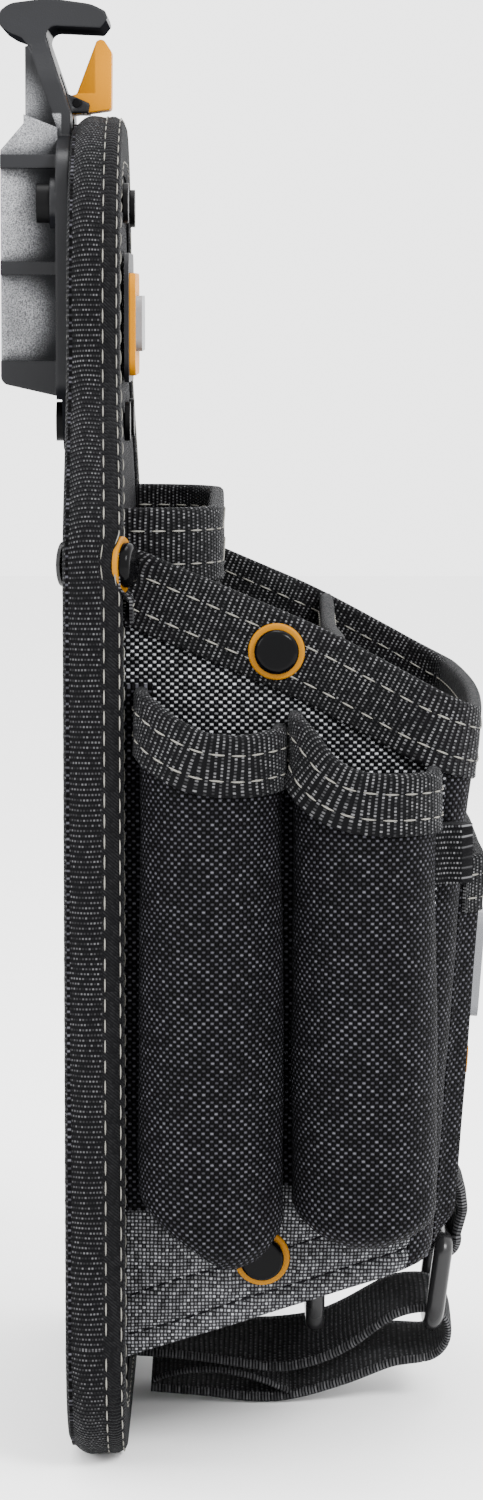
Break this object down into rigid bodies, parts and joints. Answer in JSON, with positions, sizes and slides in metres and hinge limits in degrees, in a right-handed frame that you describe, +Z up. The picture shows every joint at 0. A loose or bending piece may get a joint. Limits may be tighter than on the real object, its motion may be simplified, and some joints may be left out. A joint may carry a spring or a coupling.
{
  "type": "electrician tool pouch",
  "caption": "Fabric tool pouch on a stiff bound panel, with a sloping main pocket, tube pockets, rings, strap and a clip bracket with a release lever.",
  "frame": {"origin": "centre of the clip bracket's flat rear face, which bears on the belt hub; the stiff panel hangs below and in front of it", "axes": "+X forward, away from the wearer; +Y across the pouch, with the tube pockets on the -Y side; +Z up"},
  "size_m": [0.1097, 0.1764, 0.3214],
  "materials": {
    "panel_board": "black coated fabric over a stiff board",
    "webbing": "black ribbed polyester webbing, off-white stitching",
    "heather_weave": "dark grey heather plain weave",
    "ballistic_weave": "black ballistic weave",
    "tube_webbing": "black ribbed webbing binding",
    "hook_tape": "black hook tape",
    "bracket_plastic": "dark grey moulded plastic, fine grain",
    "lever_plastic": "amber moulded plastic",
    "coated_metal": "black coated steel wire",
    "black_metal": "gloss black",
    "washer_plastic": "amber",
    "pin_steel": "plain steel",
    "badge_dark": "black moulded rubbery plastic",
    "badge_amber": "amber",
    "badge_grey": "light grey"
  },
  "bodies": {
    "pouch": {"back_panel": "panel_board", "panel_binding": "webbing", "rim_binding": "webbing", "divider_binding": "webbing", "sleeve_binding": "webbing", "side_tab": "webbing", "front_ring_tab": "webbing", "rear_ring_tab": "webbing", "strap": "webbing", "front_pocket_binding": "webbing", "near_side_wall": "heather_weave", "far_side_wall": "heather_weave", "front_wall": "ballistic_weave", "pocket_floor": "ballistic_weave", "divider": "ballistic_weave", "sleeve_pocket": "ballistic_weave", "rear_tube": "ballistic_weave", "front_tube": "ballistic_weave", "front_pocket": "ballistic_weave", "rear_tube_binding": "tube_webbing", "front_tube_binding": "tube_webbing", "clip_bracket": "bracket_plastic", "rivet_caps": "black_metal", "bracket_rivets": "black_metal", "rivet_posts": "black_metal", "rivet_washers": "washer_plastic", "lever_pin": "pin_steel", "lever_spring": "pin_steel", "panel_badge_base": "badge_dark", "front_badge_base": "badge_dark", "panel_badge_body": "badge_amber", "front_badge_accent": "badge_amber", "panel_badge_face": "badge_grey", "front_badge_face": "badge_grey"},
    "lever": {"release_lever": "lever_plastic"},
    "front_ring": {"front_ring": "coated_metal"},
    "rear_ring": {"rear_ring": "coated_metal"},
    "strap_tail": {"strap_tail": "webbing", "hook_patch": "hook_tape"}
  },
  "joints": [
    {"name": "lever_pivot", "type": "hinge", "parent": "pouch", "child": "lever", "pos_m": [0.0163, 0, 0.0386], "axis": [0, 1, 0], "range_deg": [-9, 0], "stiffness_Nm_per_rad": 0.3, "springref_deg": 5.73, "deforming": ["lever_spring"]},
    {"name": "front_ring_swing", "type": "hinge", "parent": "pouch", "child": "front_ring", "pos_m": [0.1001, 0, -0.2216], "axis": [0, 1, 0], "range_deg": [-0.4, 5]},
    {"name": "rear_ring_swing", "type": "hinge", "parent": "pouch", "child": "rear_ring", "pos_m": [0.0705, 0, -0.2252], "axis": [0, 1, 0], "range_deg": [-2, 60]},
    {"name": "strap_tail_lift", "type": "hinge", "parent": "pouch", "child": "strap_tail", "pos_m": [0.0954, 0, -0.2493], "axis": [0, 1, 0], "range_deg": [-95, 0]}
  ]
}
